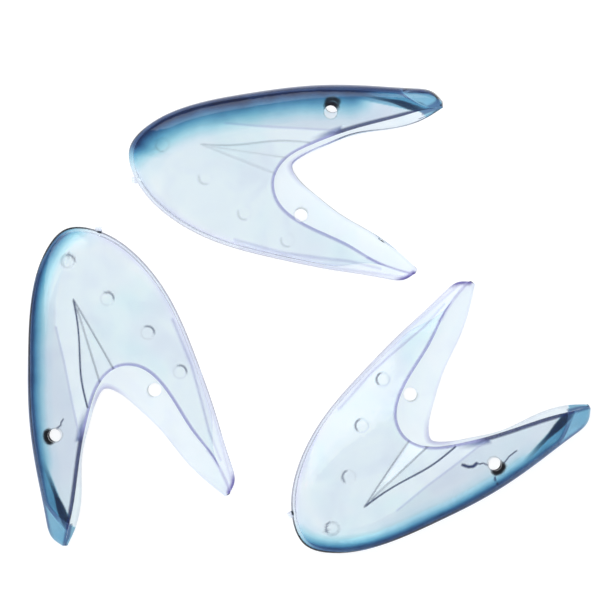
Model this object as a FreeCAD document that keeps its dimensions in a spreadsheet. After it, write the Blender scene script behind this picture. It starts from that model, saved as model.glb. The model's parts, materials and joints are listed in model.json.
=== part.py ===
import FreeCAD, Part
import math
import os

from FreeCAD import Placement, Rotation, Vector

# A set of three clear moulded guards. Each guard is one hollow two-pronged shell: a near layer and a far
# layer that meet along the outer edge and are open at the V notch between a deep wing and a shallow wing.
# A guard's own frame has its origin on the closed end, X along the middle of the V towards the two tips,
# Y across it with the shallow wing at plus Y, and the flat outside of the far layer on the plane Z = 0.
# The set's frame has Z up from the surface that the guards lie on and its origin under the set's middle.

DIMENSIONS = (
    ("wall", 2.2, "thickness of each layer"),
    ("deep_height", 23.5, "height of the shell on the deep side, before it tapers to the tip"),
    ("shallow_height", 8.0, "height of the shell on the shallow side, before it tapers to the tip"),
    ("tip_share", 0.42, "share of that height that is left at the tips"),
    ("mouth_overrun", 1.2, "how far the hollow runs out past the notch edge, to open it"),
    ("deep_tip_solid", 0.05, "share of the outer edge, from the deep tip, that is solid plastic"),
    ("shallow_tip_solid", 0.085, "share of the outer edge, from the shallow tip, that is solid plastic"),
    ("trim_level", 2.8, "height above the far face from which the near layer is trimmed back"),
    ("trim_depth", 40.0, "height of the block that trims the near layer"),
    ("flat_depth", 0.15, "how much is taken off the far layer's outside to leave a flat face"),
    ("pleat_rise", 3.2, "height of the pleat's crest above the near layer at its wide end"),
    ("hole_radius", 3.2, "radius of the fixing holes"),
    ("hole_depth", 60.0, "length of the cutter for the fixing holes"),
    ("mark_radius", 3.2, "radius of the ejector marks"),
    ("mark_recess", 0.35, "depth of the ejector marks"),
    ("gate_radius", 1.3, "radius of the moulding gate's stub"),
    ("gate_length", 4.0, "length of the moulding gate's stub, half of it inside the wall"),
)

# Plan outlines in a guard's own frame, from the deep tip to the shallow tip.
OUTER_EDGE = (
    (148.2, -43.4), (144.0, -46.6), (134.0, -47.3), (112.0, -45.8), (84.0, -42.4), (54.0, -35.0),
    (25.0, -25.2), (6.0, -13.0), (-1.4, -1.5), (3.0, 13.5), (20.0, 29.3), (45.0, 39.6), (76.0, 44.4),
    (104.0, 46.6), (130.0, 47.6), (141.0, 46.6), (144.6, 43.6),
)
NOTCH_EDGE = (
    (149.0, -40.6), (141.0, -34.0), (126.0, -26.8), (108.0, -22.3), (94.7, -15.8), (82.4, -7.9),
    (78.9, -3.2), (81.4, 2.0), (91.3, 9.9), (106.1, 19.0), (122.0, 26.0), (135.0, 33.4), (145.4, 41.0),
)
# The near layer's own edge: straight along the deep wing, then set back round the notch and out to the
# shallow tip. The trimmed area is closed by two corners out beyond the tips.
TRIM_EDGE = (
    (152.0, -42.6), (126.0, -31.2), (101.0, -20.6), (88.0, -13.2), (76.0, -4.6), (70.4, 6.0), (73.0, 16.5),
    (84.4, 25.2), (109.5, 33.5), (128.0, 40.6), (150.0, 44.4),
)
TRIM_CORNERS = ((160.0, 44.4), (160.0, -42.6))

STATIONS = 21
SECTION_POINTS = 15
NOTCH_LEAD = 2.2        # how much faster the sections walk along the notch edge near the tips
TAPER_POWER = 0.6
NEAR_ROUNDNESS = 2.3    # superellipse exponents: 2 is an ellipse, more is squarer
FAR_ROUNDNESS = 3.6

PLEAT_TIP = (33.6, -6.4)
PLEAT_LEFT = (70.6, 4.0)
PLEAT_RIGHT = (85.0, -11.9)
PLEAT_CREST = (76.0, -3.5)
PLEAT_OVERRUN = 1.12    # the pleat runs past the near layer's edge, which then trims it

DEEP_HOLE = (95.2, -32.1)
SHALLOW_HOLE = (86.3, 20.7)
EJECTOR_MARKS = ((14.3, -3.9), (37.0, 9.9), (58.2, 24.7), (80.9, 35.0))
GATE_SHARE = 0.545      # the gate's place along the outer edge
REACH = 200.0           # more than a guard reaches from its origin, for the plane and block under it
RESTING_NORMAL = (-0.0365, 0.2206, 0.9747)   # points down when a guard lies on its near layer

# Where each guard lies: its closed end, the heading of its X axis, and whether it is turned over.
LAYOUT = (
    ("turned_guard", (-86.3, 81.2), -6.8, True),
    ("left_guard", (-116.9, 43.2), -75.1, False),
    ("right_guard", (-1.0, -108.8), 40.9, False),
)


def fill_sheet(doc):
    sheet = doc.addObject("Spreadsheet::Sheet", "Dimensions")
    for row, (alias, value, meaning) in enumerate(DIMENSIONS, start=1):
        sheet.set(f"A{row}", meaning)
        sheet.set(f"B{row}", str(value))
        sheet.setAlias(f"B{row}", alias)
    doc.recompute()
    return sheet


class Outline:
    """A plan curve whose points are found by their share of its length."""

    def __init__(self, points):
        self.curve = Part.BSplineCurve()
        self.curve.interpolate([Vector(x, y, 0) for x, y in points])
        self.length = self.curve.length()

    def at(self, share):
        parameter = self.curve.parameterAtDistance(self.length * share, self.curve.FirstParameter)
        return self.curve.value(parameter)


def notch_share(share):
    """The notch edge's share facing a share of the outer edge, so that sections cross each wing squarely."""
    if share > 0.5:
        return 1 - notch_share(1 - share)
    return 0.5 * (1 - (1 - 2 * share) ** NOTCH_LEAD)


def shell_height(sheet, share):
    """Height of the shell at a share of the outer edge, from the deep tip at 0 to the shallow tip at 1."""
    deep_part = 0.5 * (1 + math.cos(math.pi * share))
    side_height = sheet.shallow_height + (sheet.deep_height - sheet.shallow_height) * deep_part
    taper = sheet.tip_share + (1 - sheet.tip_share) * math.sin(math.pi * share) ** TAPER_POWER
    return side_height * taper


def section_wire(sheet, outlines, share, inset, overrun):
    """A closed section: round the outer edge from the near layer's mouth to the far layer's, and back."""
    outer, notch = outlines
    rim = outer.at(share)
    mouth = notch.at(notch_share(share))
    outward = (rim - mouth).normalize()
    start = mouth - outward * overrun
    reach = (rim - mouth).Length - inset + overrun
    rim_height = shell_height(sheet, share)
    mouth_height = shell_height(sheet, notch_share(share))
    points = []
    for index in range(SECTION_POINTS):
        angle = math.pi * index / (SECTION_POINTS - 1)
        near = angle < math.pi / 2
        power = 2 / (NEAR_ROUNDNESS if near else FAR_ROUNDNESS)
        outward_part = max(0.0, math.sin(angle)) ** power
        plan = start + outward * (reach * outward_part)
        middle = (mouth_height + (rim_height - mouth_height) * outward_part) / 2
        level = abs(math.cos(angle)) ** power
        height = middle + (middle - inset) * (level if near else -level)
        points.append(Vector(plan.x, plan.y, height - sheet.flat_depth))
    skin = Part.BSplineCurve()
    skin.interpolate(points)
    return Part.Wire([skin.toShape(), Part.makeLine(points[-1], points[0])])


def lofted(sheet, outlines, first, last, inset, overrun):
    shares = [first + (last - first) * index / (STATIONS - 1) for index in range(STATIONS)]
    wires = [section_wire(sheet, outlines, share, inset, overrun) for share in shares]
    return Part.makeLoft(wires, True, False)


def top_of(solid, place):
    """The highest point of a solid above a place in plan."""
    x, y = place
    line = Part.makeLine(Vector(x, y, -1), Vector(x, y, 100))
    return max(vertex.Z for vertex in solid.common(line).Vertexes)


def pleat_solid(envelope, rise, drop):
    """A three-sided spike lying on the near layer, from a sharp tip to its wide end at the mouth."""
    tip = Vector(*PLEAT_TIP, top_of(envelope, PLEAT_TIP) - drop)
    corners = []
    for place, lift in ((PLEAT_LEFT, 0), (PLEAT_RIGHT, 0), (PLEAT_CREST, rise)):
        corner = Vector(*place, top_of(envelope, place) + lift - drop)
        corners.append(tip + (corner - tip) * PLEAT_OVERRUN)
    left, right, crest = corners
    triangles = ((tip, left, crest), (tip, crest, right), (tip, right, left), (left, right, crest))
    faces = [Part.Face(Part.makePolygon([*triangle, triangle[0]])) for triangle in triangles]
    return Part.Solid(Part.Shell(faces))


def mark_frame(envelope, place):
    """A placement on the near layer at a place in plan, with its Z axis along the surface's normal."""
    x, y = place
    step = 1.0
    centre = Vector(x, y, top_of(envelope, place))
    along = Vector(x + step, y, top_of(envelope, (x + step, y))) - centre
    across = Vector(x, y + step, top_of(envelope, (x, y + step))) - centre
    return Placement(centre, Rotation(Vector(0, 0, 1), along.cross(across)))


def plain_feature(doc, name, shape):
    feature = doc.addObject("Part::Feature", name)
    feature.Shape = shape
    return feature


def cylinder(doc, name, radius, length, placement):
    """A cylinder whose radius and length follow cells of the sheet."""
    feature = doc.addObject("Part::Cylinder", name)
    feature.setExpression("Radius", radius)
    feature.setExpression("Height", length)
    feature.Placement = placement
    return feature


def combined(doc, kind, base, tools):
    """A chain of booleans of one kind, one for each tool."""
    for tool in tools:
        result = doc.addObject(kind, tool.Name + "Applied")
        result.Base = base
        result.Tool = tool
        base = result
    return base


def gate_stub(doc, sheet, outlines):
    """The short stub that the moulding gate leaves on the outer edge."""
    outer, notch = outlines
    rim = outer.at(GATE_SHARE)
    outward = (rim - notch.at(notch_share(GATE_SHARE))).normalize()
    middle = Vector(0, 0, shell_height(sheet, GATE_SHARE) / 2)
    frame = Placement(rim + middle - outward * (sheet.gate_length / 2), Rotation(Vector(0, 0, 1), outward))
    return cylinder(doc, "Gate", "Dimensions.gate_radius", "Dimensions.gate_length", frame)


def near_layer_trim(doc, sheet):
    """A block over the part of the notch where only the far layer is left."""
    edge = Part.BSplineCurve()
    edge.interpolate([Vector(x, y, sheet.trim_level) for x, y in TRIM_EDGE])
    corners = [Vector(x, y, sheet.trim_level) for x, y in TRIM_CORNERS]
    straight = Part.makePolygon([edge.EndPoint, *corners, edge.StartPoint])
    outline = plain_feature(doc, "TrimOutline", Part.Face(Part.Wire([edge.toShape(), *straight.Edges])))
    block = doc.addObject("Part::Extrusion", "Trim")
    block.Base = outline
    block.DirMode = "Custom"
    block.Dir = Vector(0, 0, 1)
    block.setExpression("LengthFwd", "Dimensions.trim_depth")
    return block


def floor_block(doc):
    """A block under the plane Z = 0, which leaves the far layer's outside flat."""
    block = doc.addObject("Part::Box", "FloorBlock")
    block.Length = 2 * REACH
    block.Width = 2 * REACH
    block.Height = REACH
    block.Placement.Base = Vector(-REACH, -REACH, -REACH)
    return block


def hole_cutters(doc, sheet):
    cutters = []
    for name, place in (("DeepHole", DEEP_HOLE), ("ShallowHole", SHALLOW_HOLE)):
        frame = Placement(Vector(*place, -sheet.hole_depth / 2), Rotation())
        cutters.append(cylinder(doc, name, "Dimensions.hole_radius", "Dimensions.hole_depth", frame))
    return cutters


def mark_cutters(doc, sheet, envelope):
    cutters = []
    recess = Placement(Vector(0, 0, -sheet.mark_recess), Rotation())
    for index, place in enumerate(EJECTOR_MARKS, start=1):
        frame = mark_frame(envelope, place).multiply(recess)
        cutters.append(
            cylinder(doc, f"Mark{index}", "Dimensions.mark_radius", "Dimensions.hole_depth", frame)
        )
    return cutters


def guard_body(doc, sheet):
    """One whole guard in its own frame."""
    outlines = (Outline(OUTER_EDGE), Outline(NOTCH_EDGE))
    envelope = lofted(sheet, outlines, 0.0, 1.0, 0.0, 0.0)
    first, last = sheet.deep_tip_solid, 1 - sheet.shallow_tip_solid
    pouch = lofted(sheet, outlines, first, last, sheet.wall, sheet.mouth_overrun)
    pleat = plain_feature(doc, "Pleat", pleat_solid(envelope, sheet.pleat_rise, 0.0))
    pleat_hollow = plain_feature(doc, "PleatHollow", pleat_solid(envelope, sheet.pleat_rise, sheet.wall))
    skin = plain_feature(doc, "Envelope", envelope)
    outside = combined(doc, "Part::Fuse", skin, [pleat, gate_stub(doc, sheet, outlines)])
    cutters = [plain_feature(doc, "Pouch", pouch), pleat_hollow, near_layer_trim(doc, sheet)]
    cutters.append(floor_block(doc))
    cutters += hole_cutters(doc, sheet) + mark_cutters(doc, sheet, envelope)
    return combined(doc, "Part::Cut", outside, cutters)


def turned_over(heading):
    """The rotation that puts a guard's near layer down on its resting plane, at a heading."""
    over = Rotation(Vector(*RESTING_NORMAL), Vector(0, 0, -1))
    axis = over.multVec(Vector(1, 0, 0))
    leftover = heading - math.degrees(math.atan2(axis.y, axis.x))
    return Rotation(Vector(0, 0, 1), leftover).multiply(over)


def height_below(shape):
    """How far a shape's lowest point is below the plane Z = 0."""
    plane = Part.makePlane(2 * REACH, 2 * REACH, Vector(-REACH, -REACH, -REACH))
    return REACH - plane.distToShape(shape)[0]


def laid_out(doc, guard):
    """The guards of the set, each a copy of the one guard where it lies."""
    rotations = []
    places = []
    for _, place, heading, over in LAYOUT:
        rotation = turned_over(heading) if over else Rotation(Vector(0, 0, 1), heading)
        turned = guard.Shape.copy()
        turned.Placement = Placement(Vector(), rotation)
        rotations.append(rotation)
        places.append(Vector(*place, height_below(turned) if over else 0.0))
    features = []
    for (name, *_), rotation, place in zip(LAYOUT, rotations, places):
        feature = doc.addObject("Part::Compound", name)
        feature.Label = name
        feature.Links = [guard]
        feature.Placement = Placement(place, rotation)
        features.append(feature)
    doc.recompute()
    box = Part.makeCompound([feature.Shape for feature in features]).optimalBoundingBox(True, False)
    for feature in features:
        middle = Vector(box.Center.x, box.Center.y, 0)
        feature.Placement = Placement(feature.Placement.Base - middle, feature.Placement.Rotation)
    doc.recompute()
    return features


def check(doc, features):
    failed = [item.Name for item in doc.Objects if {"Invalid", "Error"} & set(item.State)]
    failed += [item.Label for item in features if item.Shape.isNull() or not item.Shape.isValid()]
    failed += [item.Label for item in features if len(item.Shape.Solids) != 1]
    if failed:
        raise RuntimeError(f"failed features: {failed}")


def main():
    doc = FreeCAD.newDocument("guards")
    sheet = fill_sheet(doc)
    guard = guard_body(doc, sheet)
    doc.recompute()
    features = laid_out(doc, guard)
    check(doc, features)
    os.makedirs("parts", exist_ok=True)
    for feature in features:
        feature.Shape.exportStep(f"parts/{feature.Label}.step")
        box = feature.Shape.optimalBoundingBox(True, False)
        print(feature.Label, round(feature.Shape.Volume), feature.Placement.Base, box)


main()
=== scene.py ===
import bpy
import bmesh
import json
import math
import numpy as np
from mathutils import Matrix, Vector
from mathutils.kdtree import KDTree

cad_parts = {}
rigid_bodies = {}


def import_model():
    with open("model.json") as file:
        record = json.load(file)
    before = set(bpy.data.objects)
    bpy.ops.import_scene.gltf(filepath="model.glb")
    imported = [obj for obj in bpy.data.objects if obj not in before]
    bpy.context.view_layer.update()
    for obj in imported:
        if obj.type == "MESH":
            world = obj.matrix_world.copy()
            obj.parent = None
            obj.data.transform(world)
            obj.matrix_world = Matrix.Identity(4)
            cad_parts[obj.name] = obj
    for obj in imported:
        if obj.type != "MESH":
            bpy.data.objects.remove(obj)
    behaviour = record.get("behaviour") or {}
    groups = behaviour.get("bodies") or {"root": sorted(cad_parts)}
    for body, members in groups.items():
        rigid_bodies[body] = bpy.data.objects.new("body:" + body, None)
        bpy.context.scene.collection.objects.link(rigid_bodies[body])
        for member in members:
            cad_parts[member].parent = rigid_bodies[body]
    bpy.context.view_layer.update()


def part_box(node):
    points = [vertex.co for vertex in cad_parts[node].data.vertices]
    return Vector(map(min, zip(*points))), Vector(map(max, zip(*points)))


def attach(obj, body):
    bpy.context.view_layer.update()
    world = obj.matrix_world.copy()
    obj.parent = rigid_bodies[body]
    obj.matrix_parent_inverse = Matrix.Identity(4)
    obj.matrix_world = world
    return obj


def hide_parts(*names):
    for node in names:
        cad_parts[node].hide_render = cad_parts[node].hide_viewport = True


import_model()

MM = 0.001

# Outlines of one guard in its own frame, in millimetres, from the deep tip to the shallow tip. The frame's
# origin is on the closed end, X runs along the middle of the V, and the shallow wing is at plus Y.
OUTER_EDGE = (
    (148.2, -43.4), (144.0, -46.6), (134.0, -47.3), (112.0, -45.8), (84.0, -42.4), (54.0, -35.0),
    (25.0, -25.2), (6.0, -13.0), (-1.4, -1.5), (3.0, 13.5), (20.0, 29.3), (45.0, 39.6), (76.0, 44.4),
    (104.0, 46.6), (130.0, 47.6), (141.0, 46.6), (144.6, 43.6),
)
NOTCH_EDGE = (
    (148.6, -40.9), (141.0, -34.8), (126.0, -28.0), (108.0, -22.8), (94.7, -15.8), (82.4, -7.9),
    (78.9, -3.2), (81.4, 2.0), (91.3, 9.9), (106.1, 19.0), (122.0, 26.0), (135.0, 33.4), (145.4, 41.0),
)
TRIM_EDGE = (
    (151.0, -42.4), (126.0, -30.6), (101.0, -20.0), (88.0, -13.2), (76.0, -4.6), (70.4, 6.0), (73.0, 16.5),
    (84.4, 25.2), (109.5, 33.5), (128.0, 40.6), (150.0, 44.4),
)

# The shell. Heights are those of the closed shell over the floor, before the tips taper it.
WALL = 2.2
DEEP_HEIGHT = 23.5
SHALLOW_HEIGHT = 8.0
TIP_SHARE = 0.42            # what is left of the height at the tips
TAPER_POWER = 0.6
NOTCH_LEAD = 2.2            # how much faster the sections walk along the notch edge near the tips
NOTCH_EVEN_SHARE = 0.04     # the part of that walk which is even, so that no two sections meet
NOTCH_STEP = 0.004          # how far to either side, as a share, the notch edge's direction is taken
NEAR_ROUNDNESS = 2.3        # 2 is an ellipse, and more is boxier
FAR_ROUNDNESS = 3.6
FLAT_DEPTH = 0.15           # how far the shell is sunk, so that its far side is flat
TRIM_LEVEL = 2.8            # height of the near layer's cut edge where the pocket is closed
TRIM_LIMIT = 0.93           # the near layer is never cut back further out than this
LAST_START = 0.995          # a skin keeps at least what lies beyond this part of the section
LIP_BULGE = 0.7
LIP_POWER = 0.6
LEAST_EDGE = 0.3
LEAST_GAP = 0.1
POCKET_OPENS = (0.0, 0.075)     # shares of the outer edge over which the pocket opens, and closes again
POCKET_CLOSES = (0.87, 0.96)
TIP_WAYS = ((0.7, 0.2, 0.0), (0.7, -0.1, 0.0))
TIP_TURNS = (0.25, 0.5, 0.75, 0.95)

PLEAT_TIP = (33.6, -6.4)
PLEAT_LEFT = (70.6, 4.0)
PLEAT_RIGHT = (85.0, -11.9)
PLEAT_CREST = (76.0, -3.5)
PLEAT_RISE = 3.2
PLEAT_SOFTNESS = 0.0006
PLEAT_START = (-0.03, 0.06)
PLEAT_FOLDS = (
    (((33.4, -6.1), (44.0, -6.9), (57.6, -9.4), (71.2, -12.2), (86.0, -12.9)), 1.0),
    (((38.0, -5.6), (56.0, -4.7), (76.0, -3.9)), 0.45),
    (((34.0, -5.9), (52.0, -0.9), (71.0, 4.0)), 0.6),
)

# What only the colour shows, mostly painted shade: creases, the pocket's end as its distance from the rim
# at each
# X, lines with their strengths, and cracks with their widths.
WALL_CREASE = ((18.0, -8.0), (31.0, -14.5), (44.0, -17.8), (62.0, -18.3), (82.0, -19.6), (101.0, -20.4))
POCKET_END = ((104.0, 5.0), (117.0, 7.3), (126.0, 8.7), (136.0, 10.3), (149.0, 12.0))
SHALLOW_LINES = (
    (((55.0, 38.0), (79.0, 41.2), (96.0, 41.4), (113.0, 41.2), (128.0, 43.0)), 0.5),
    (((58.0, 41.0), (84.0, 44.0), (105.0, 45.3), (125.0, 45.4), (139.0, 45.4)), 0.4),
)
CRACKS = (
    (((88.6, -25.8), (89.8, -27.2), (91.2, -27.8), (92.0, -29.8)), 0.5),
    (((83.0, -22.0), (84.6, -24.6), (86.6, -25.9), (88.6, -25.8)), 1.2),
    (((99.2, -34.4), (103.0, -33.6), (107.5, -33.9)), 0.5),
    (((92.6, -35.6), (90.6, -37.6), (89.6, -40.4)), 0.5),
)

HOLES = ((95.2, -32.1), (86.3, 20.7))
HOLE_RADIUS = 3.2
HOLE_TOOL_LENGTH = 80
HOLE_TOOL_LEVEL = 10
HOLE_CRESCENTS = ((3.0, 1.0), (0.9, 0.35))      # width and strength of the crescent of painted shade at each hole
MARKS = ((14.3, -3.9), (37.0, 9.9), (58.2, 24.7), (80.9, 35.0))
MARK_RADIUS = 3.2
MARK_RECESS = 0.35
MARK_SLOPE = 0.45
MARK_DARK_SIDE = (-0.62, 0.78)                  # the way in plan that a mark's ring of painted shade shows darkest
GATE_SHARE = 0.545
GATE_RADIUS = 1.7
GATE_LENGTH = 4.2
RESTING_NORMAL = (-0.0365, 0.2206, 0.9747)      # points straight down on a guard that is turned over

# Each guard: the heading of its X axis, whether it is turned over, the width of its blue band and how fast
# that fades (below 1 is later), how strong the painted shade on its folds and marks is, and how many of the
# cracks it has.
LAYOUT = (
    ("turned_guard", -6.8, True, 19.0, 0.62, 0.35, 0),
    ("left_guard", -75.1, False, 13.0, 0.9, 1.0, 1),
    ("right_guard", 40.9, False, 12.5, 0.95, 1.0, 4),
)

STATIONS = 340
NEAR_POINTS = 104
FAR_POINTS = 34
INNER_NEAR_POINTS = 76
LIP_POINTS = 6
ROD_SIDES = 72
CURVE_SAMPLES = 6000
NEAREST_SAMPLES = 1500
SKIN_SAMPLES = 600
FOLD_SAMPLES = 24
SHARP_ANGLE = 50.0

NEAR_LEVELS = (2.9, 3.6)            # heights between which a point starts to count as the near layer's
DEEP_SIDE_ENDS = (0.475, 0.575)     # shares of the outer edge
DEEP_WING_ENDS = (0.28, 0.33)       # shares of the trimmed edge
ROOT_STARTS = (0.40, 0.46)          # shares of the notch edge
ROOT_ENDS = (0.5, 0.6)

# The other values of mark_up's functions, in millimetres. A span is where along X something comes or goes.
# Gaps are how far from its curve or circle a mark is still full, and from where on there is none of it, or
# for the walls and the strip, how far past a line they start and are full.
TIP_SPAN = (104, 126)
SOLID_TIP_SPAN = (137, 146)
SHALLOW_TIP_SPAN = (134, 140)
SHALLOW_TIP_SIDE = 30
POCKET_LINE_SPAN = (122, 132)
CUSP_START = (84, 98)
CUSP_END = (100, 101.5)
SLOPE_SPAN = (20, 48)
BEYOND_SPAN = (99, 102)
STRIP_START = (36, 56)
STRIP_END = (88, 96)
CUSP_GAPS = (1.2, 3.8)
TIP_RIM_GAPS = (0.3, 2.6)
BAND_END_GAPS = (-0.4, 0.4)
TRIM_SIDE_GAPS = (-0.3, 0.3)
SCUFFED_AND_SHADED_RIM_GAPS = (0.15, 1.0)
SHALLOW_RIM_GAPS = (0.3, 6.0)
SHALLOW_TIP_GAPS = (0.8, 2.6)
MOUTH_GAPS = (0.1, 0.9)
SLOPE_GAPS = (-0.2, 0.5)
STRIP_GAPS = (0.3, 0.9)
FOLD_GAPS = (0.1, 0.7)
RING_GAPS = (0.15, 0.75)
FAINT_GAPS = (0.1, 0.9)
CREASE_GAPS = (0.1, 0.8)
TIP_BAND = (0.72, 0.28)             # how blue the deep tip is all over, and how much more at its rim
POCKET_LINE_SHIFT = 0.7
MOUTH_STRENGTH = (0.12, 0.6)        # of the painted shade at the notch's edge, and how much more at its root
RING_STRENGTH = 0.75
RING_LEAST = (0.35, 0.1)            # how much of the first mark's ring shows all round, and of the others
CREASE_STRENGTH = 0.6
CRACK_CORE = 0.2

# Colour of the plastic along the blue band, from its faded side to the rim.
BAND_COLORS = (
    (0.0, (0.975, 0.995, 0.995)),
    (0.30, (0.92, 0.975, 0.985)),
    (0.52, (0.68, 0.88, 0.92)),
    (0.70, (0.36, 0.63, 0.75)),
    (0.82, (0.18, 0.37, 0.53)),
    (0.91, (0.065, 0.13, 0.27)),
    (1.0, (0.03, 0.055, 0.15)),
)
FAR_LAYER_TINT = (0.895, 0.93, 0.955)
# Painted shade: the tint of soft patches over the faces.
PATCH_SHADE_TINT = (0.89, 0.89, 0.945)
AQUA_TINT = (0.90, 0.99, 0.98)
# Painted shade along the cut edges: lavender on the shallow wing, navy on the deep one.
SHALLOW_EDGE_SHADE = (0.42, 0.40, 0.66)
DEEP_EDGE_SHADE = (0.02, 0.03, 0.13)
# Painted shade along folds and mark rings, and the dark colour of the cracks.
FOLD_SHADE_AND_CRACK_COLOR = (0.02, 0.035, 0.12)
HOLE_SHADE_COLOR = (0.002, 0.003, 0.008)
# Attribute, strength, colour and how it is laid over the colour below it.
# Painted light and shade here: a bright strip, and shade on the slope, cusp, pocket end, faint lines,
# scuffed rim.
TINTS = (
    ("painted_light_strip", 0.85, (1.0, 1.0, 1.0), "MIX"),
    ("slope_shade", 0.9, (0.85, 0.85, 0.89), "MULTIPLY"),
    ("shallow_rim", 0.8, (0.93, 0.90, 0.985), "MULTIPLY"),
    ("deep_tip", 0.85, (0.22, 0.48, 0.64), "MIX"),
    ("cusp_shade", 0.9, (0.13, 0.17, 0.38), "MIX"),
    ("pocket_end_shade", 0.95, (0.008, 0.02, 0.07), "MIX"),
    ("scuffed_and_shaded_rim", 0.9, (0.80, 0.80, 0.93), "MIX"),
    ("faint_shade_line", 0.8, (0.50, 0.50, 0.72), "MIX"),
    ("shallow_tip", 0.95, (0.16, 0.13, 0.42), "MIX"),
)
PLASTIC_IOR = 1.38
SCUFFED_TRANSMISSION = 0.45
BUMP_STRENGTH = 0.12
BUMP_DISTANCE = 0.0004
ABSORBED_COLOR = (0.55, 0.82, 0.96, 1)
ABSORPTION = 32.0

# The stage, in metres.
CAMERA_HEIGHT = 2.2
CAMERA_CENTRE = (-0.0047, 0.0097)
VIEW_WIDTH = 0.296
SENSOR_WIDTH = 36.0
TABLE_SIZE = 6.0
TABLE_DROP = 0.0005
TABLE_GREY = 0.35
TABLE_ROUGHNESS = 0.8
TABLE_GLOW = 0.84
SKY_COLOR = (0.80, 0.85, 0.95, 1)
SKY_STRENGTH = 0.75
SOFTBOX_PLACE = (-0.6, 0.9, 1.4)
SOFTBOX_SIZE = 1.2
SOFTBOX_POWER = 12


class Outline:
    """A smooth plan curve through given points, sampled evenly and read by share of its length."""

    def __init__(self, points):
        knots = np.array(points, float)
        steps = np.hypot(*(knots[1:] - knots[:-1]).T)
        place = np.concatenate([[0], np.cumsum(steps)])
        count = len(knots)
        system = np.eye(count)
        bend = np.zeros((count, 2))
        for k in range(1, count - 1):
            before, after = steps[k - 1], steps[k]
            system[k, k - 1:k + 2] = before, 2 * (before + after), after
            bend[k] = 6 * ((knots[k + 1] - knots[k]) / after - (knots[k] - knots[k - 1]) / before)
        second = np.linalg.solve(system, bend)
        fine = np.linspace(0, place[-1], CURVE_SAMPLES)
        k = np.clip(np.searchsorted(place, fine, side="right") - 1, 0, count - 2)
        span = steps[k][:, None]
        a = (place[k + 1] - fine)[:, None]
        b = (fine - place[k])[:, None]
        curve = (second[k] * a ** 3 + second[k + 1] * b ** 3) / (6 * span)
        curve += (knots[k] / span - second[k] * span / 6) * a
        curve += (knots[k + 1] / span - second[k + 1] * span / 6) * b
        run = np.concatenate([[0], np.cumsum(np.hypot(*(curve[1:] - curve[:-1]).T))])
        self.share = run / run[-1]
        self.curve = curve

    def at(self, share):
        """The point at a share of the length, or the points at several shares."""
        return np.stack([np.interp(share, self.share, self.curve[:, axis]) for axis in (0, 1)], -1)

    def nearest(self, places):
        """Distance from each place to the curve, and the share of the curve's nearest point."""
        shares = np.linspace(0, 1, NEAREST_SAMPLES)
        tree = KDTree(len(shares))
        for index, (x, y) in enumerate(self.at(shares)):
            tree.insert((x, y, 0), index)
        tree.balance()
        found = [tree.find((x, y, 0)) for x, y in places]
        return np.array([f[2] for f in found]), shares[[f[1] for f in found]]


OUTER = Outline(OUTER_EDGE)
NOTCH = Outline(NOTCH_EDGE)
TRIM = Outline(TRIM_EDGE)


def smooth(low, high, value):
    """0 up to low and 1 from high on, with an S-shaped rise between."""
    t = np.clip((value - low) / (high - low), 0, 1)
    return t * t * (3 - 2 * t)


def fall(low, high, value):
    """1 up to low and 0 from high on."""
    return 1 - smooth(low, high, value)


def notch_share(share):
    """The share of the notch edge that faces a share of the outer edge."""
    if share > 0.5:
        return 1 - notch_share(1 - share)
    eased = 0.5 * (1 - (1 - 2 * share) ** NOTCH_LEAD)
    return NOTCH_EVEN_SHARE * share + (1 - NOTCH_EVEN_SHARE) * eased


def shell_height(share):
    """Height of the closed shell at a share of an edge, from the deep tip to the shallow tip."""
    deep_part = 0.5 * (1 + math.cos(math.pi * share))
    side_height = SHALLOW_HEIGHT + (DEEP_HEIGHT - SHALLOW_HEIGHT) * deep_part
    fullness = max(0.0, math.sin(math.pi * share)) ** TAPER_POWER
    return side_height * (TIP_SHARE + (1 - TIP_SHARE) * fullness)


def distance_to_line(places, start, end):
    """Distance to the segment from start to end, and how far along it the nearest point is, from 0 to 1."""
    start, end = np.array(start), np.array(end)
    along = np.clip((places - start) @ (end - start) / ((end - start) @ (end - start)), 0, 1)
    gap = places - (start + along[:, None] * (end - start))
    return np.hypot(*gap.T), along


def pleat_height(places):
    """How far the pleat lifts the near layer at places in plan: a tent along its crest."""
    tip, left, right, crest = (np.array(p) for p in (PLEAT_TIP, PLEAT_LEFT, PLEAT_RIGHT, PLEAT_CREST))
    heights = []
    for side in (left, right):
        system = np.array([crest - tip, side - tip]).T
        parts = (places - tip) @ np.linalg.inv(system).T
        heights.append(np.where(parts[:, 1] >= 0, parts[:, 0], np.inf))
    tent = np.minimum(*heights)
    tent = np.where(np.isfinite(tent), tent, 0)
    rounded = tent + np.sqrt(tent * tent + PLEAT_SOFTNESS)
    return PLEAT_RISE * 0.5 * rounded * smooth(*PLEAT_START, tent)


def marks_depth(places):
    """How far the ejector marks sink the near layer at places in plan."""
    depth = np.zeros(len(places))
    for mark in MARKS:
        gap = np.hypot(*(places - np.array(mark)).T)
        depth += MARK_RECESS * fall(MARK_RADIUS - MARK_SLOPE, MARK_RADIUS + MARK_SLOPE, gap)
    return depth


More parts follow.
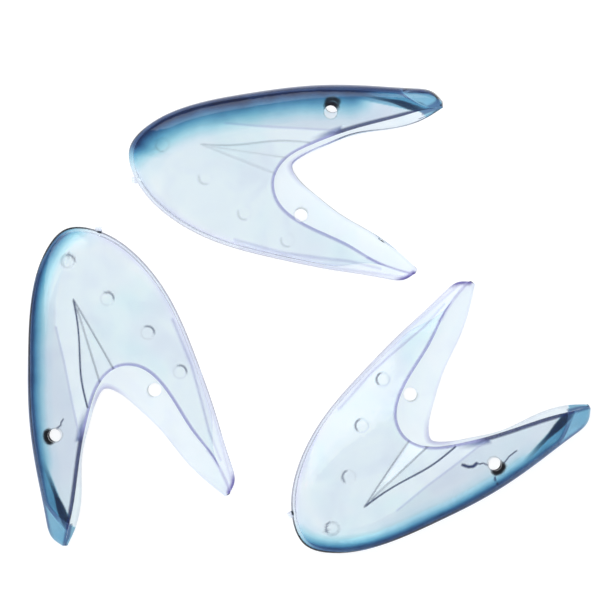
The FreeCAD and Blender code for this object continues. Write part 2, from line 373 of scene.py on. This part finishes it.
class Section:
    """One crossing of the shell, from a point of the outer edge to the facing point of the notch edge."""

    def __init__(self, share):
        self.share = share
        self.rim = OUTER.at(share)
        notch_at = notch_share(share)
        self.mouth = NOTCH.at(notch_at)
        self.reach = np.hypot(*(self.rim - self.mouth))
        self.outward = (self.rim - self.mouth) / self.reach
        self.rim_height = shell_height(share)
        self.mouth_height = shell_height(notch_at)
        self.trim = self.trim_part()
        here, there = NOTCH.at(notch_at - NOTCH_STEP), NOTCH.at(notch_at + NOTCH_STEP)
        normal = np.array([there[1] - here[1], here[0] - there[0]])
        self.inward = -normal * np.sign(normal @ self.outward) / np.hypot(*normal)

    def trim_part(self):
        """How far out along the section the near layer starts."""
        side = np.array([-self.outward[1], self.outward[0]])
        gaps = TRIM.curve - self.mouth
        across = gaps @ side
        out = gaps @ self.outward / self.reach
        in_reach = (out[1:] > -0.2) & (out[1:] < 1.2)
        crossing = np.nonzero((across[1:] * across[:-1] <= 0) & in_reach)[0]
        if not len(crossing):
            return 0.0
        return float(np.clip(out[crossing[0]], 0.0, TRIM_LIMIT))

    def skin(self, low, near, inset, count):
        """Evenly spaced points of a skin, from the part low of the section out to the rim.

        The near skin bulges up and the far one down, and inset moves an inner skin in from the outer one.
        """
        roundness = NEAR_ROUNDNESS if near else FAR_ROUNDNESS
        angle = np.linspace(0, math.pi / 2, SKIN_SAMPLES)
        size = (np.cos(angle) ** roundness + np.sin(angle) ** roundness) ** (-1 / roundness)
        part, level = np.sin(angle) * size, np.cos(angle) * size
        plan = self.mouth + self.outward * (part * (self.reach - inset))[:, None]
        middle = (self.mouth_height + (self.rim_height - self.mouth_height) * part) / 2
        sign = 1 if near else -1
        height = np.maximum(middle + sign * (middle - inset) * level - FLAT_DEPTH, 0)
        start = low * self.reach / (self.reach - inset)
        keep = part >= min(start, LAST_START)
        points = np.column_stack([plan, height])[keep]
        first = [np.interp(start, part, column) for column in (*plan.T, height)]
        points = np.vstack([first, points])
        run = np.concatenate([[0], np.cumsum(np.linalg.norm(points[1:] - points[:-1], axis=1))])
        wanted = np.linspace(0, run[-1], count)
        return np.column_stack([np.interp(wanted, run, points[:, axis]) for axis in range(3)])

    def lip(self, start, end, way, bulge):
        """Points strictly between start and end, bulging the given way."""
        share = np.arange(1, LIP_POINTS + 1)[:, None] / (LIP_POINTS + 1)
        way = np.array([*way, 0])
        return start + (end - start) * share + way * bulge * np.sin(math.pi * share) ** LIP_POWER

    def loop(self):
        """All points round the section: near skin, far skin, lip, inner skins, lip."""
        near = self.skin(self.trim, True, 0.0, NEAR_POINTS)
        near[:, 2] += pleat_height(near[:, :2]) - marks_depth(near[:, :2])
        far = self.skin(0.0, False, 0.0, FAR_POINTS)[::-1][1:]
        inner_far = self.skin(0.0, False, WALL, FAR_POINTS)
        inner_near = self.skin(self.trim, True, WALL, INNER_NEAR_POINTS + 1)[::-1][1:]
        inner_near[:, 2] += pleat_height(inner_near[:, :2])
        hollow = smooth(*POCKET_OPENS, self.share) * fall(*POCKET_CLOSES, self.share)
        if hollow < 1:
            inner_far, inner_near = self.closing(near, inner_far, inner_near, hollow)
        return np.vstack([
            near, far, self.lip(far[-1], inner_far[0], self.inward, LIP_BULGE), inner_far, inner_near,
            self.lip(inner_near[-1], near[0], -self.outward, LIP_BULGE * hollow),
        ])

    def closing(self, near, inner_far, inner_near, hollow):
        """The inner skins where the pocket closes: they sink towards a flat ledge and an upright riser."""
        level = min(TRIM_LEVEL, near[0, 2] - LEAST_EDGE)
        foot = np.array([*(self.mouth + self.outward * self.trim * self.reach), level])
        step = np.linspace(0, 1, FAR_POINTS)[:, None]
        ledge = inner_far[0] * (1 - step) + foot * step
        ledge[2:, 2] = level
        top_level = np.clip(inner_near[-1, 2], level + LEAST_GAP, near[0, 2] - LEAST_GAP)
        top = np.array([*foot[:2], top_level])
        riser = foot + (top - foot) * np.linspace(0, 1, INNER_NEAR_POINTS + 1)[1:, None]
        return ledge + (inner_far - ledge) * hollow, riser + (inner_near - riser) * hollow


def end_rings(loop, way):
    """Smaller and smaller copies of an end loop, to round off a tip."""
    centre = loop.mean(axis=0)
    rings = []
    for turn in TIP_TURNS:
        angle = turn * math.pi / 2
        rings.append(centre + (loop - centre) * math.cos(angle) + way * math.sin(angle))
    return rings


def guard_mesh():
    """The closed shell of one guard, in millimetres in its own frame."""
    loops = [Section(float(share)).loop() for share in np.linspace(0.0, 1.0, STATIONS)]
    start_way, end_way = np.array(TIP_WAYS)
    loops = end_rings(loops[0], start_way)[::-1] + loops + end_rings(loops[-1], end_way)
    size = len(loops[0])
    faces = [tuple(range(size - 1, -1, -1)), tuple(range((len(loops) - 1) * size, len(loops) * size))]
    for row in range(len(loops) - 1):
        here, there = row * size, (row + 1) * size
        for k in range(size):
            following = (k + 1) % size
            faces.append((here + k, here + following, there + following, there + k))
    mesh = bpy.data.meshes.new("guard_shell")
    mesh.from_pydata(np.vstack(loops).tolist(), [], faces)
    bm = bmesh.new()
    bm.from_mesh(mesh)
    bmesh.ops.recalc_face_normals(bm, faces=bm.faces)
    bm.to_mesh(mesh)
    bm.free()
    return mesh


def rod(name, radius, length, centre, way):
    """A round bar to cut or add with, centred at a place and pointing the given way."""
    bm = bmesh.new()
    bmesh.ops.create_cone(
        bm, cap_ends=True, segments=ROD_SIDES, radius1=radius, radius2=radius, depth=length,
    )
    turn = Vector((0, 0, 1)).rotation_difference(Vector(way)).to_matrix().to_4x4()
    bmesh.ops.transform(bm, matrix=Matrix.Translation(centre) @ turn, verts=bm.verts)
    mesh = bpy.data.meshes.new(name)
    bm.to_mesh(mesh)
    bm.free()
    item = bpy.data.objects.new(name, mesh)
    bpy.context.scene.collection.objects.link(item)
    return item


def with_booleans(mesh):
    """The shell with its two holes and the gate's stub."""
    shell = bpy.data.objects.new("shell", mesh)
    bpy.context.scene.collection.objects.link(shell)
    tools = []
    for place in HOLES:
        centre = (*place, HOLE_TOOL_LEVEL)
        tools.append((rod("hole", HOLE_RADIUS, HOLE_TOOL_LENGTH, centre, (0, 0, 1)), "DIFFERENCE"))
    section = Section(GATE_SHARE)
    outward = (*section.outward, 0)
    centre = (*section.rim, section.rim_height * 0.5)
    tools.append((rod("gate", GATE_RADIUS, GATE_LENGTH, centre, outward), "UNION"))
    for tool, operation in tools:
        modifier = shell.modifiers.new(tool.name, "BOOLEAN")
        modifier.object = tool
        modifier.operation = operation
        modifier.solver = "EXACT"
    graph = bpy.context.evaluated_depsgraph_get()
    result = bpy.data.meshes.new_from_object(shell.evaluated_get(graph))
    for item in [shell] + [tool for tool, _ in tools]:
        bpy.data.objects.remove(item)
    return result


def mesh_points(mesh):
    """The places of a mesh's points, one row each."""
    points = np.empty(len(mesh.vertices) * 3, np.float32)
    mesh.vertices.foreach_get("co", points)
    return points.reshape(-1, 3).astype(float)


def add_attribute(mesh, name, values):
    layer = mesh.attributes.new(name, "FLOAT", "POINT")
    layer.data.foreach_set("value", np.asarray(values, np.float32))


def path_gap(places, path):
    """Distance from each place to a path of straight pieces."""
    return np.min([distance_to_line(places, start, end)[0] for start, end in zip(path, path[1:])], axis=0)


def mark_up(mesh, band_width, fade, line_shade_share, cracks):
    """Stores what the plastic's colour depends on: the nearness of edges, creases, holes and marks, much of
    it painted shade.
    """
    points = mesh_points(mesh)
    plan = points[:, :2]
    upper = smooth(*NEAR_LEVELS, points[:, 2])
    rim_gap, rim_share = OUTER.nearest(plan)
    deep = fall(*DEEP_SIDE_ENDS, rim_share)
    trim_gap, trim_share = TRIM.nearest(plan)
    add_attribute(mesh, "near_layer", upper)
    mark_rim(mesh, plan, upper, deep, rim_gap, band_width, fade)
    mark_cut_edges(mesh, points, trim_gap, trim_share)
    mark_walls(mesh, plan, upper, deep)
    x = plan[:, 0]
    # Painted shade: a dark cusp along the deep wing's trimmed edge, between X of about 84 and 101.
    cusp_shade = smooth(*CUSP_START, x) * fall(*CUSP_END, x) * fall(*CUSP_GAPS, trim_gap) * upper
    add_attribute(mesh, "cusp_shade", cusp_shade * (rim_share < 0.5))
    mark_lines(mesh, plan, upper, line_shade_share, cracks)
    mark_holes(mesh, plan)


def mark_rim(mesh, plan, upper, deep, rim_gap, band_width, fade):
    """The blue band of the deep side, how it ends in the deep tip with painted shade at the pocket's end,
    and the shallow side's pale rim.
    """
    x, y = plan.T
    in_tip = deep * smooth(*TIP_SPAN, x)
    pocket_gap = np.interp(x, *zip(*POCKET_END))
    band = np.clip(1 - rim_gap / band_width, 0, 1) ** fade
    all_over, at_rim = TIP_BAND
    tip_band = all_over + at_rim * fall(*TIP_RIM_GAPS, rim_gap)
    tip_band = tip_band * fall(*BAND_END_GAPS, rim_gap - pocket_gap)
    add_attribute(mesh, "deep_band", deep * (band + (tip_band - band) * in_tip))
    trim_level = np.interp(x, *zip(*TRIM_EDGE[4::-1]))
    solid_tip = deep * smooth(*SOLID_TIP_SPAN, x) * smooth(*TRIM_SIDE_GAPS, trim_level - y)
    # Painted shade: a dark line on the near layer where the pocket ends in the deep tip.
    half_width = 0.5 + 1.1 * smooth(*POCKET_LINE_SPAN, x)
    line_gap = np.abs(rim_gap - pocket_gap + POCKET_LINE_SHIFT)
    pocket_shade_line = in_tip * fall(half_width, half_width + 0.9, line_gap) * upper
    add_attribute(mesh, "pocket_end_shade", pocket_shade_line * (1 - solid_tip))
    add_attribute(mesh, "deep_tip", solid_tip)
    # Scuffing frosts the shallow side's rim, and its lavender there is painted shade of the steep rim wall.
    add_attribute(mesh, "scuffed_and_shaded_rim", (1 - deep) * fall(*SCUFFED_AND_SHADED_RIM_GAPS, rim_gap))
    add_attribute(mesh, "shallow_rim", (1 - deep) * fall(*SHALLOW_RIM_GAPS, rim_gap))
    shallow_tip = fall(*SHALLOW_TIP_GAPS, rim_gap) * smooth(*SHALLOW_TIP_SPAN, x)
    add_attribute(mesh, "shallow_tip", shallow_tip * (y > SHALLOW_TIP_SIDE))


def mark_cut_edges(mesh, points, trim_gap, trim_share):
    """Painted shade along the near layer's trimmed edge, wider on the deep wing, and along the far layer's
    edge at the notch.
    """
    deep_wing = fall(*DEEP_WING_ENDS, trim_share)
    edge = fall(0.3 + 0.4 * deep_wing, 1.2 + 0.7 * deep_wing, trim_gap)
    cut = np.where(points[:, 2] > TRIM_LEVEL - LEAST_EDGE, edge, 0)
    notch_gap, notch_at = NOTCH.nearest(points[:, :2])
    root = smooth(*ROOT_STARTS, notch_at) * fall(*ROOT_ENDS, notch_at)
    mouth = fall(*MOUTH_GAPS, notch_gap) * (MOUTH_STRENGTH[0] + MOUTH_STRENGTH[1] * root)
    add_attribute(mesh, "cut_edge_shade", np.maximum(cut, mouth))
    add_attribute(mesh, "deep_wing", deep_wing)


def mark_walls(mesh, plan, upper, deep):
    """Painted shade that greys the slope outside the deep wing's crease, and painted light on the bright
    strip between crease and pleat.
    """
    x, y = plan.T
    crease_level = np.interp(x, *zip(*WALL_CREASE))
    fold_level = np.interp(x, *zip(*PLEAT_FOLDS[0][0]))
    slope = smooth(*SLOPE_GAPS, crease_level - y) * smooth(*SLOPE_SPAN, x) * deep
    beyond = smooth(*BEYOND_SPAN, x) * deep
    # Painted shade: grey on the slope outside the crease, and on the deep side past X of about 100.
    add_attribute(mesh, "slope_shade", np.maximum(slope, beyond) * upper)
    # Painted light: the strip between the crease and the pleat is made brighter.
    between = smooth(*STRIP_GAPS, y - crease_level) * smooth(*STRIP_GAPS, fold_level - y)
    strip = between * smooth(*STRIP_START, x)
    add_attribute(mesh, "painted_light_strip", strip * fall(*STRIP_END, x) * upper)


def mark_lines(mesh, plan, upper, line_shade_share, cracks):
    """Dark lines: painted shade along the pleat's folds and in an arc at each ejector mark, and the cracks;
    then the paler lines of painted shade.
    """
    lines = np.zeros(len(plan))
    for path, strength in PLEAT_FOLDS:
        curve = Outline(path).at(np.linspace(0, 1, FOLD_SAMPLES))
        lines = np.maximum(lines, strength * fall(*FOLD_GAPS, path_gap(plan, curve)) * upper)
    for number, mark in enumerate(MARKS):
        gap = plan - np.array(mark)
        ring = fall(*RING_GAPS, np.abs(np.hypot(*gap.T) - MARK_RADIUS))
        side = smooth(0.1, 0.8, (gap @ np.array(MARK_DARK_SIDE)) / MARK_RADIUS)
        side = np.maximum(side, RING_LEAST[min(number, 1)])
        lines = np.maximum(lines, RING_STRENGTH * ring * side * upper)
    lines *= line_shade_share
    for path, width in CRACKS[:cracks]:
        lines = np.maximum(lines, fall(CRACK_CORE * width, width, path_gap(plan, path)) * upper)
    add_attribute(mesh, "crease", lines)
    # Painted shade: paler lines inside the shallow wing's rim, where its inner wall lies, and along the
    # deep wing's crease.
    faint = np.zeros(len(plan))
    for path, strength in SHALLOW_LINES:
        faint = np.maximum(faint, strength * fall(*FAINT_GAPS, path_gap(plan, path)))
    crease_line = fall(*CREASE_GAPS, path_gap(plan, WALL_CREASE[2:])) * upper
    add_attribute(mesh, "faint_shade_line", np.maximum(faint, CREASE_STRENGTH * crease_line))


def mark_holes(mesh, plan):
    """Painted shade: a dark crescent on the outer side of each hole's rim, where the hole's wall shows
    through.
    """
    hole = np.zeros(len(plan))
    for place, (width, strength) in zip(HOLES, HOLE_CRESCENTS):
        gap = plan - np.array(place)
        away = np.hypot(*gap.T) - HOLE_RADIUS
        side = smooth(0.15, 0.85, -gap[:, 1] / (away + HOLE_RADIUS))
        crescent = fall(0.55, 1.0, np.abs(away) / np.maximum(width * side, 0.25))
        hole = np.maximum(hole, strength * crescent * (0.3 + 0.7 * side))
    add_attribute(mesh, "hole_rim_shade", hole)


class Tree:
    """A little helper to build a material's nodes."""

    def __init__(self, name):
        self.material = bpy.data.materials.new(name)
        self.material.use_nodes = True
        self.nodes = self.material.node_tree.nodes
        self.links = self.material.node_tree.links
        self.nodes.clear()
        self.output = self.nodes.new("ShaderNodeOutputMaterial")
        self.shader = self.nodes.new("ShaderNodeBsdfPrincipled")
        self.links.new(self.shader.outputs["BSDF"], self.output.inputs["Surface"])

    def put(self, socket, value):
        """Links another node's output to a socket, or sets the socket's own value."""
        if isinstance(value, bpy.types.NodeSocket):
            self.links.new(value, socket)
        else:
            socket.default_value = value

    def attribute(self, name):
        node = self.nodes.new("ShaderNodeAttribute")
        node.attribute_name = name
        return node.outputs["Fac"]

    def place(self):
        """The place on the object, in metres."""
        return self.nodes.new("ShaderNodeTexCoord").outputs["Object"]

    def noise(self, scale, detail, rough=0.5, distortion=0.0):
        node = self.nodes.new("ShaderNodeTexNoise")
        self.put(node.inputs["Vector"], self.place())
        node.inputs["Scale"].default_value = scale
        node.inputs["Detail"].default_value = detail
        node.inputs["Roughness"].default_value = rough
        node.inputs["Distortion"].default_value = distortion
        return node.outputs["Fac"]

    def math(self, operation, *values):
        node = self.nodes.new("ShaderNodeMath")
        node.operation = operation
        for socket, value in zip(node.inputs, values):
            self.put(socket, value)
        return node.outputs["Value"]

    def stretch(self, value, low, high, to_low=0.0, to_high=1.0):
        """The value spread smoothly from the range low to high to another range."""
        node = self.nodes.new("ShaderNodeMapRange")
        node.interpolation_type = "SMOOTHSTEP"
        for socket, item in zip(node.inputs, (value, low, high, to_low, to_high)):
            self.put(socket, item)
        return node.outputs["Result"]

    def ramp(self, value, stops):
        node = self.nodes.new("ShaderNodeValToRGB")
        self.put(node.inputs["Fac"], value)
        elements = node.color_ramp.elements
        while len(elements) < len(stops):
            elements.new(0.5)
        for element, (position, color) in zip(elements, stops):
            element.position = position
            element.color = (*color, 1)
        return node.outputs["Color"]

    def mix(self, factor, first, second, kind="MIX"):
        node = self.nodes.new("ShaderNodeMix")
        node.data_type = "RGBA"
        node.blend_type = kind
        self.put(node.inputs["Factor"], factor)
        for socket, color in ((node.inputs[6], first), (node.inputs[7], second)):
            self.put(socket, (*color, 1) if isinstance(color, tuple) else color)
        return node.outputs[2]


def plastic_color(tree):
    """Clear, blue along the deep side's outer edge, faintly lavender at the other edges, with painted shade
    and light.
    """
    sway = tree.math("MULTIPLY", tree.math("SUBTRACT", tree.noise(90, 2.0), 0.5), 0.16)
    band = tree.attribute("deep_band")
    inside = tree.stretch(band, 0.0, 0.12)
    color = tree.ramp(tree.math("MULTIPLY", tree.math("ADD", band, sway), inside), BAND_COLORS)
    far_share = tree.math("SUBTRACT", 1.0, tree.attribute("near_layer"))
    color = tree.mix(far_share, color, FAR_LAYER_TINT, "MULTIPLY")
    # Painted shade: soft grey-lavender patches over the faces.
    shade_patches = tree.stretch(tree.noise(35, 3.0, 0.6, distortion=0.6), 0.42, 0.72)
    color = tree.mix(tree.math("MULTIPLY", shade_patches, 0.45), color, PATCH_SHADE_TINT, "MULTIPLY")
    aqua = tree.stretch(tree.noise(28, 2.0, 0.5, distortion=0.3), 0.5, 0.8)
    color = tree.mix(tree.math("MULTIPLY", aqua, 0.6), color, AQUA_TINT, "MULTIPLY")
    for name, strength, tint, kind in TINTS:
        amount = tree.math("MULTIPLY", tree.attribute(name), strength)
        color = tree.mix(amount, color, tint, kind)
    # Painted shade along the cut edges.
    edge_shade = tree.mix(tree.attribute("deep_wing"), SHALLOW_EDGE_SHADE, DEEP_EDGE_SHADE)
    color = tree.mix(tree.math("MULTIPLY", tree.attribute("cut_edge_shade"), 0.9), color, edge_shade)
    # Painted shade along the pleat's folds and round the ejector marks, and the dark cracks.
    color = tree.mix(tree.attribute("crease"), color, FOLD_SHADE_AND_CRACK_COLOR)
    # Painted shade: the dark crescent at each hole.
    return tree.mix(tree.attribute("hole_rim_shade"), color, HOLE_SHADE_COLOR)


def guard_plastic():
    """Clear tinted plastic with a hazed, slightly wavy surface and a scuffed rim on the shallow side, with
    painted shade on that rim.
    """
    tree = Tree("tinted_clear_plastic")
    inputs = tree.shader.inputs
    tree.put(inputs["Base Color"], plastic_color(tree))
    tree.put(inputs["Roughness"], tree.stretch(tree.noise(1200, 4.0, 0.6), 0.5, 0.8, 0.02, 0.10))
    inputs["IOR"].default_value = PLASTIC_IOR
    clear = tree.stretch(tree.attribute("scuffed_and_shaded_rim"), 0.0, 1.0, 1.0, SCUFFED_TRANSMISSION)
    tree.put(inputs["Transmission Weight"], clear)
    bump = tree.nodes.new("ShaderNodeBump")
    bump.inputs["Strength"].default_value = BUMP_STRENGTH
    bump.inputs["Distance"].default_value = BUMP_DISTANCE
    tree.put(bump.inputs["Height"], tree.noise(160, 2.0))
    tree.put(inputs["Normal"], bump.outputs["Normal"])
    volume = tree.nodes.new("ShaderNodeVolumeAbsorption")
    volume.inputs["Color"].default_value = ABSORBED_COLOR
    volume.inputs["Density"].default_value = ABSORPTION
    tree.put(tree.output.inputs["Volume"], volume.outputs["Volume"])
    return tree.material


def guard_rotation(heading, over):
    """Turns a guard over if it lies that way, and then its X axis to the heading."""
    if not over:
        return Matrix.Rotation(math.radians(heading), 4, "Z")
    turn = Vector(RESTING_NORMAL).rotation_difference(Vector((0, 0, -1))).to_matrix().to_4x4()
    axis = turn @ Vector((1, 0, 0))
    leftover = math.radians(heading) - math.atan2(axis.y, axis.x)
    return Matrix.Rotation(leftover, 4, "Z") @ turn


def place_guard(mesh, node, heading, over):
    """Lays a guard's own copy of the shell where its CAD piece lies, and hands it to the frame."""
    turn = guard_rotation(heading, over)
    turned = mesh_points(mesh) @ np.array(turn.to_3x3()).T * MM
    low, high = (Vector(corner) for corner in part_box(node))
    middle = (low + high) / 2 - Vector((turned.max(axis=0) + turned.min(axis=0)) / 2)
    middle.z = low.z - float(turned[:, 2].min())
    mesh.transform(Matrix.Translation(middle) @ turn @ Matrix.Scale(MM, 4))
    guard = bpy.data.objects.new(f"{node}_shell", mesh)
    bpy.context.scene.collection.objects.link(guard)
    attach(guard, node)
    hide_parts(node)


def floor():
    """A pale table that glows a little, so that the clear guards show against white."""
    tree = Tree("lit_table")
    inputs = tree.shader.inputs
    inputs["Base Color"].default_value = (TABLE_GREY, TABLE_GREY, TABLE_GREY, 1)
    inputs["Roughness"].default_value = TABLE_ROUGHNESS
    inputs["Emission Color"].default_value = (1, 1, 1, 1)
    inputs["Emission Strength"].default_value = TABLE_GLOW
    bpy.ops.mesh.primitive_plane_add(size=TABLE_SIZE, location=(0, 0, -TABLE_DROP))
    table = bpy.context.object
    table.name = "lit_table"
    table.data.materials.append(tree.material)


def studio():
    """A pale sky and one large soft light."""
    world = bpy.data.worlds.new("studio")
    bpy.context.scene.world = world
    world.use_nodes = True
    background = world.node_tree.nodes["Background"]
    background.inputs["Color"].default_value = SKY_COLOR
    background.inputs["Strength"].default_value = SKY_STRENGTH
    light = bpy.data.lights.new("softbox", "AREA")
    light.energy = SOFTBOX_POWER
    light.size = SOFTBOX_SIZE
    lamp = bpy.data.objects.new("softbox", light)
    lamp.location = SOFTBOX_PLACE
    lamp.rotation_euler = (-lamp.location).to_track_quat("-Z", "Y").to_euler()
    bpy.context.scene.collection.objects.link(lamp)


def camera():
    """Straight overhead, and far enough up for the view to be nearly flat."""
    data = bpy.data.cameras.new("overhead")
    data.sensor_width = SENSOR_WIDTH
    data.lens = SENSOR_WIDTH * CAMERA_HEIGHT / VIEW_WIDTH
    eye = bpy.data.objects.new("overhead", data)
    eye.location = (*CAMERA_CENTRE, CAMERA_HEIGHT)
    bpy.context.scene.collection.objects.link(eye)
    bpy.context.scene.camera = eye


def clear_defaults():
    """Removes what a new Blender file starts with."""
    for item in list(bpy.data.objects):
        if item.name in ("Cube", "Light", "Camera"):
            bpy.data.objects.remove(item)


def finished_shell():
    """The finished shell that every guard is a copy of."""
    mesh = with_booleans(guard_mesh())
    for polygon in mesh.polygons:
        polygon.use_smooth = True
    mesh.set_sharp_from_angle(angle=math.radians(SHARP_ANGLE))
    mesh.materials.clear()
    mesh.materials.append(guard_plastic())
    return mesh


clear_defaults()
shell_mesh = finished_shell()
for node, heading, over, band_width, fade, line_shade_share, cracks in LAYOUT:
    mesh = shell_mesh.copy()
    mark_up(mesh, band_width, fade, line_shade_share, cracks)
    place_guard(mesh, node, heading, over)
floor()
studio()
camera()
bpy.context.scene.view_settings.view_transform = "Standard"
